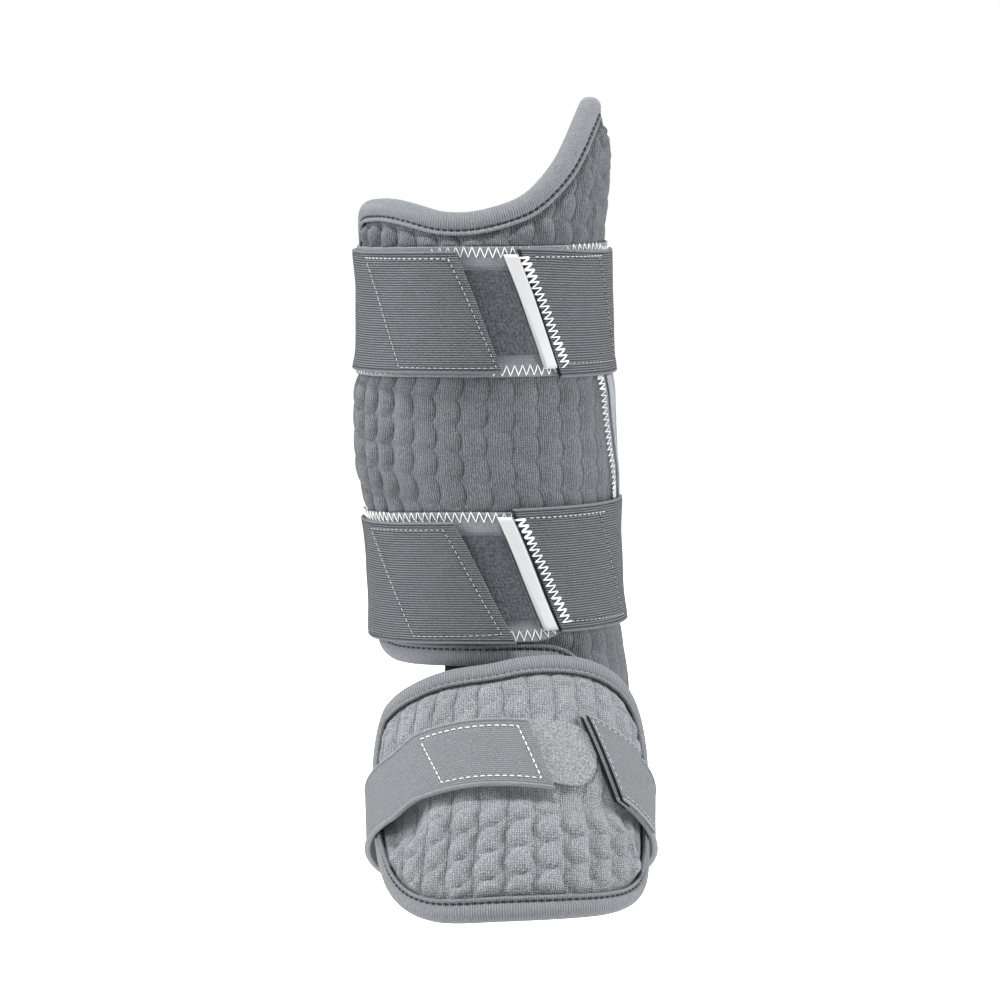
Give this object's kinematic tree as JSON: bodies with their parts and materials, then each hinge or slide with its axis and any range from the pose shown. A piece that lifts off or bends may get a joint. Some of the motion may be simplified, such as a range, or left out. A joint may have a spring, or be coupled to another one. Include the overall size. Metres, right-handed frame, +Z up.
{
  "type": "batters leg guard",
  "caption": "Padded shin guard that wraps the front and sides of the lower leg, with elastic straps round the back and a padded guard strapped over the foot below it.",
  "frame": {"origin": "on the leg's axis, midway between the two straps of the shin guard", "axes": "+Z up along the leg, -Y out of the shin towards the front, +X to the right as seen from the front"},
  "size_m": [0.1285, 0.1903, 0.3404],
  "materials": {
    "shin_quilt": "heather grey knit quilted over foam",
    "shin_binding": "ribbed knit edge tape",
    "band": "smooth heather knit",
    "shin_loop": "brushed loop pile",
    "shin_elastic": "ribbed woven elastic",
    "pull_tab": "matte moulded white",
    "foot_quilt": "heather grey knit quilted over foam",
    "foot_binding": "ribbed knit edge tape",
    "foot_loop": "brushed loop pile",
    "foot_twill": "woven twill webbing",
    "black_elastic": "woven black elastic"
  },
  "bodies": {
    "root": {"shin_shell": "shin_quilt", "shin_binding": "shin_binding", "upper_panel": "band", "upper_loop_patch": "shin_loop", "upper_pull_tab": "pull_tab", "upper_strap": "shin_elastic", "lower_panel": "band", "lower_loop_patch": "shin_loop", "lower_pull_tab": "pull_tab", "lower_strap": "shin_elastic", "side_panel": "band", "foot_guard": "foot_quilt", "foot_binding": "foot_binding", "foot_loop_patch": "foot_loop", "foot_strap": "foot_twill", "connector_strap": "black_elastic"}
  },
  "joints": []
}
